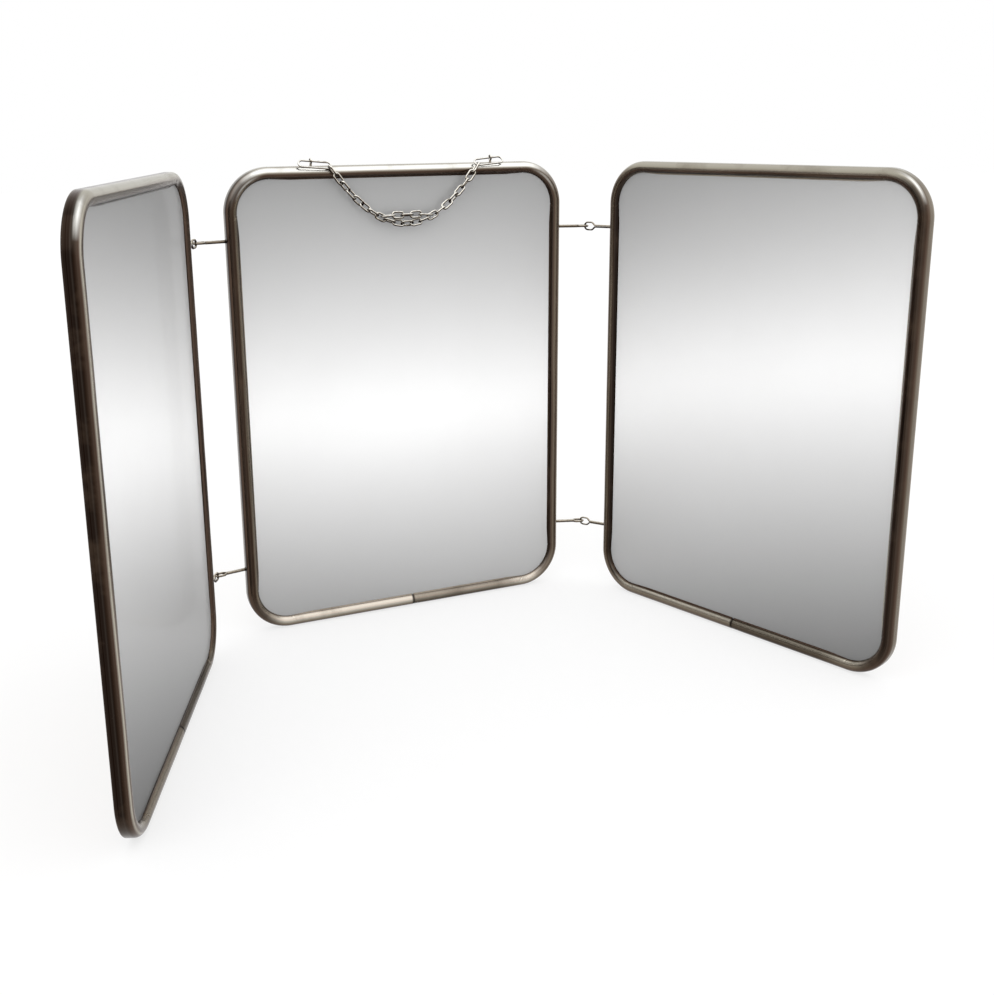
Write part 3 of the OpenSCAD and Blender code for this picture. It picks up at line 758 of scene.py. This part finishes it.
def split_pin(name):
    """One half-round wire bent back on itself: two legs side by side, an eye, spread ends."""
    points, blend = pin_line()
    leg = arc(0, 0, SHANK_R, -90, 90, 9) + [(0.0, SHANK_R * v) for v in FLAT_POINTS]
    eye = arc(0, 0, EYE_WIRE, -90, 90, 9)
    eye += [(-0.5 * EYE_WIRE * (1 - 0.15 * v * v), EYE_WIRE * v * 0.9) for v in FLAT_POINTS]

    def section(i):
        b = blend[i]
        return [(p[0] * (1 - b) + q[0] * b, p[1] * (1 - b) + q[1] * b) for p, q in zip(leg, eye)]

    def outward(i):
        if blend[i] == 0:
            return Vector((0, 0, 1 if i < len(points) / 2 else -1))
        along = (points[i + 1] - points[i - 1]).normalized()
        return Vector((-along.z, 0, along.x))

    def tail_section(i):
        r = TAIL_R * (TAIL_TIP if i in (0, TAIL_STEPS) else 1)
        return arc(0, 0, r, 0, 360, 10)[:-1]

    wire = new_object(name, *sweep(points, section, outward), pin_mat)
    ends = [Vector((-TAIL_X, 0, TAIL_L * (2 * k / TAIL_STEPS - 1))) for k in range(TAIL_STEPS + 1)]
    tail = new_object(name + "_tail", *sweep(ends, tail_section, lambda i: Vector((1, 0, 0))), pin_mat)
    return faced_outward(wire), faced_outward(tail)


# Each pin's node, body, place and its turn about its own length: the inner ones have level eyes
PINS = []
for level, z in zip(("upper", "lower"), PIN_HEIGHTS):
    for part, side, swing, fold, wall in (("left", -1, LEFT_SWING, LEFT_FOLD, LEFT_WALL),
                                          ("right", 1, RIGHT_SWING, RIGHT_FOLD, RIGHT_WALL)):
        inner = Matrix.Translation((side * HOLE_X, 0, z)) @ Matrix.Rotation(
            -swing if side > 0 else math.pi + swing, 4, "Z") @ Matrix.Rotation(math.pi / 2, 4, "X")
        outer = Matrix.Translation((wall.x, wall.y, z)) @ Matrix.Rotation(
            math.pi - (fold - swing) if side > 0 else fold - swing, 4, "Z")
        PINS.append((f"{part}_{level}_inner_pin", part + "_inner_pins", inner, math.pi / 2))
        PINS.append((f"{part}_{level}_outer_pin", part + "_outer_pins", outer, 0))

for name, body, place, turned in PINS:
    wire, tail = split_pin(name + "_wire")
    # The spread ends stay upright
    tail.data.transform(Matrix.Rotation(-turned, 4, "X"))
    pin = join(name + "_split_wire", [wire, tail])
    pin.data.transform(place)
    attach(pin, body)
    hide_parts(name)


# ---- Chain ----
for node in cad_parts:
    if node.startswith("chain_"):
        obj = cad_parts[node]
        obj.data.materials.clear()
        obj.data.materials.append(chain_mat)


# ---- Stage ----
FLOOR_HALF, FLOOR_DROP = 6.0, 0.2 * MM
# The share of its colour that the floor gives off itself, so that it meets the background
FLOOR_GLOW = 0.70
SOFT_LIGHT = 1.06


def stage_floor():
    corners = [(x * FLOOR_HALF, y * FLOOR_HALF, 0) for x, y in ((-1, -1), (1, -1), (1, 1), (-1, 1))]
    floor = new_object("floor", corners, [(0, 1, 2, 3)])
    floor.location.z = -FLOOR_DROP
    t = Tree("floor_paper")
    coords = t.add("TexCoord")
    grain = t.noise(coords.outputs["Object"], 60, 4, 0.6)
    t.join(t.mix(grain, grey(0.91), grey(0.93)), t.shader.inputs["Base Color"])
    t.finish(Roughness=0.9)
    t.shader.inputs["Specular IOR Level"].default_value = 0.0
    glow = t.add("Emission", Strength=1.0)
    glow.inputs["Color"].default_value = (1, 1, 1, 1)
    path = t.add("LightPath")
    seen = t.math("MAXIMUM", path.outputs["Is Camera Ray"], path.outputs["Is Glossy Ray"])
    seen = t.math("MAXIMUM", seen, path.outputs["Is Transmission Ray"])
    blend = t.nodes.new("ShaderNodeMixShader")
    t.join(t.math("MULTIPLY", seen, FLOOR_GLOW), blend.inputs[0])
    t.join(t.shader.outputs[0], blend.inputs[1])
    t.join(glow.outputs[0], blend.inputs[2])
    t.join(blend.outputs[0], t.nodes["Material Output"].inputs["Surface"])
    floor.data.materials.append(t.mat)


def stage_world():
    """White where it is seen, reflected or seen through, and a soft even light elsewhere."""
    world = bpy.data.worlds.new("studio")
    bpy.context.scene.world = world
    world.use_nodes = True
    nodes, links = world.node_tree.nodes, world.node_tree.links
    nodes.clear()
    out = nodes.new("ShaderNodeOutputWorld")
    path = nodes.new("ShaderNodeLightPath")
    seen = nodes.new("ShaderNodeMath")
    seen.operation = "MAXIMUM"
    links.new(path.outputs["Is Camera Ray"], seen.inputs[0])
    links.new(path.outputs["Is Glossy Ray"], seen.inputs[1])
    both = nodes.new("ShaderNodeMath")
    both.operation = "MAXIMUM"
    links.new(seen.outputs[0], both.inputs[0])
    links.new(path.outputs["Is Transmission Ray"], both.inputs[1])
    soft = nodes.new("ShaderNodeBackground")
    soft.inputs[0].default_value = (1, 1, 1, 1)
    soft.inputs[1].default_value = SOFT_LIGHT
    white = nodes.new("ShaderNodeBackground")
    white.inputs[0].default_value = (1, 1, 1, 1)
    white.inputs[1].default_value = 1.0
    blend = nodes.new("ShaderNodeMixShader")
    links.new(both.outputs[0], blend.inputs[0])
    links.new(soft.outputs[0], blend.inputs[1])
    links.new(white.outputs[0], blend.inputs[2])
    links.new(blend.outputs[0], out.inputs[0])


def soft_sun(name, heading, strength, spread):
    """A wide sun that shines along heading. spread is its width in degrees."""
    data = bpy.data.lights.new(name, "SUN")
    data.energy = strength
    data.angle = math.radians(spread)
    obj = bpy.data.objects.new(name, data)
    bpy.context.scene.collection.objects.link(obj)
    obj.rotation_euler = Vector(heading).to_track_quat("-Z", "Y").to_euler()


stage_floor()
stage_world()
soft_sun("key", (0.6, 0.6, -0.9), 0.55, 60)
soft_sun("fill", (-0.7, 0.7, -0.6), 0.40, 90)

bpy.context.scene.view_settings.view_transform = "Standard"
